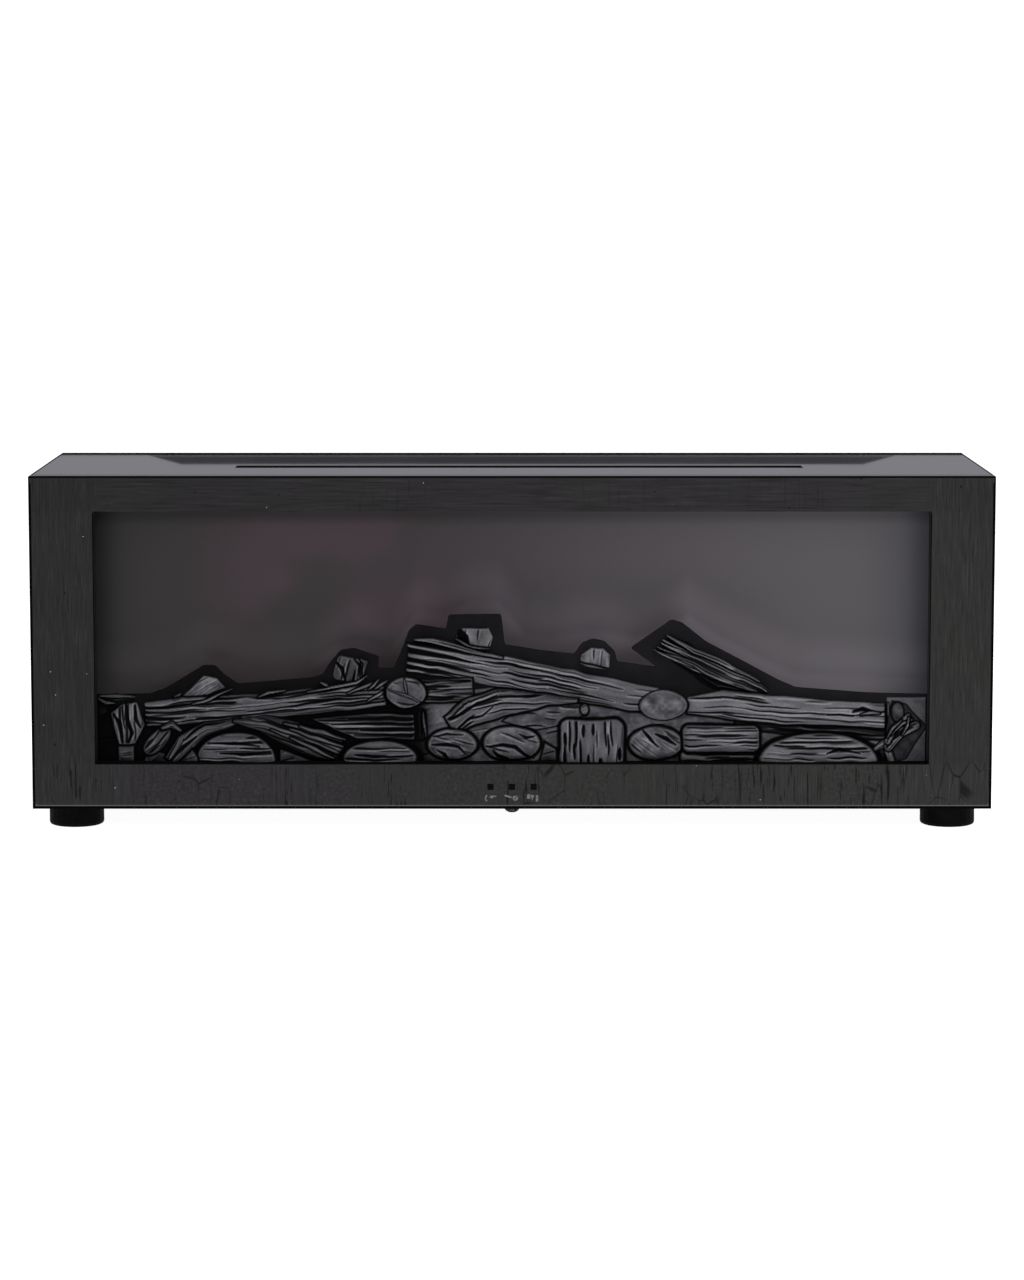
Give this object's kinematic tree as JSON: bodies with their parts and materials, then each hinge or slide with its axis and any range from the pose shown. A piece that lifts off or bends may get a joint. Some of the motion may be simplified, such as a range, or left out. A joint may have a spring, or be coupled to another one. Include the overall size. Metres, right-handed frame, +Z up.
{
  "type": "electric fireplace",
  "caption": "Low, wide electric fireplace with a black frame, moulded log relief in front of a smoked flame screen, and a warm-air slot in its top.",
  "frame": {"origin": "on the floor, under the middle of the cabinet", "axes": "+X to the viewer's right along the width, -Y out of the front, +Z up"},
  "size_m": [0.8, 0.26, 0.296],
  "materials": {
    "frame_black": "matte black lacquer",
    "case_black": "satin black enamel",
    "log_charcoal": "matte charcoal, moulded bark relief",
    "screen_smoke": "smoked semi-gloss acrylic",
    "inner_black": "matte black heat-proof paint",
    "bare_steel": "zinc-plated steel",
    "aluminium": "bright aluminium",
    "grey_plastic": "moulded grey plastic",
    "black_plastic": "moulded black plastic",
    "white_nylon": "natural nylon",
    "board_green": "printed circuit board",
    "rubber_black": "moulded black foot",
    "smoked_lens": "dark red tinted lens",
    "motor_grey": "laminated motor steel"
  },
  "bodies": {
    "cabinet": {"base_panel": "case_black", "blower_bearing": "white_nylon", "blower_end_left": "bare_steel", "blower_end_right": "bare_steel", "blower_motor": "motor_grey", "blower_scroll": "bare_steel", "board_tray": "white_nylon", "control_board": "board_green", "cover_screw_1": "bare_steel", "cover_screw_2": "bare_steel", "cover_screw_3": "bare_steel", "cover_screw_4": "bare_steel", "duct_front_wall": "bare_steel", "ember_shelf": "inner_black", "flame_screen": "screen_smoke", "flicker_bearing": "white_nylon", "flicker_bracket_left": "bare_steel", "flicker_bracket_right": "bare_steel", "flicker_motor": "grey_plastic", "foot_front_left": "rubber_black", "foot_front_right": "rubber_black", "foot_rear_left": "rubber_black", "foot_rear_right": "rubber_black", "foot_screw_front_left": "bare_steel", "foot_screw_front_right": "bare_steel", "foot_screw_rear_left": "bare_steel", "foot_screw_rear_right": "bare_steel", "front_frame": "frame_black", "front_post_left": "bare_steel", "front_post_right": "bare_steel", "inlet_pins": "bare_steel", "led_channel": "aluminium", "led_strip": "board_green", "left_reveal": "inner_black", "left_side_panel": "case_black", "log_panel": "log_charcoal", "mains_inlet": "black_plastic", "outlet_guard": "inner_black", "power_board": "board_green", "ptc_heater": "aluminium", "rear_cover": "case_black", "rear_post_left": "bare_steel", "rear_post_right": "bare_steel", "remote_eye": "smoked_lens", "right_reveal": "inner_black", "right_side_panel": "case_black", "switch_housing": "black_plastic", "thermal_cutout": "white_nylon", "top_panel": "case_black", "top_reveal": "inner_black"},
    "flicker": {"flicker_rod": "bare_steel", "flicker_vanes_1": "aluminium", "flicker_vanes_2": "aluminium", "flicker_vanes_3": "aluminium"},
    "blower": {"blower_shaft": "bare_steel", "blower_wheel": "aluminium"},
    "power_key": {"power_button": "black_plastic"},
    "flame_key": {"flame_button": "black_plastic"},
    "heat_key": {"heat_button": "black_plastic"},
    "switch_key": {"switch_rocker": "black_plastic"}
  },
  "joints": [
    {"name": "flicker_spin", "type": "hinge", "parent": "cabinet", "child": "flicker", "pos_m": [0, -0.035, 0.085], "axis": [1, 0, 0], "continuous": true},
    {"name": "blower_spin", "type": "hinge", "parent": "cabinet", "child": "blower", "pos_m": [0, -0.015, 0.215], "axis": [1, 0, 0], "continuous": true},
    {"name": "power_press", "type": "slide", "parent": "cabinet", "child": "power_key", "axis": [0, 1, 0], "range_m": [0, 0.0012], "stiffness_N_per_m": 300},
    {"name": "flame_press", "type": "slide", "parent": "cabinet", "child": "flame_key", "axis": [0, 1, 0], "range_m": [0, 0.0012], "stiffness_N_per_m": 300},
    {"name": "heat_press", "type": "slide", "parent": "cabinet", "child": "heat_key", "axis": [0, 1, 0], "range_m": [0, 0.0012], "stiffness_N_per_m": 300},
    {"name": "switch_rock", "type": "hinge", "parent": "cabinet", "child": "switch_key", "pos_m": [0.318, 0.1195, 0.062], "axis": [1, 0, 0], "range_deg": [0, 14]}
  ]
}
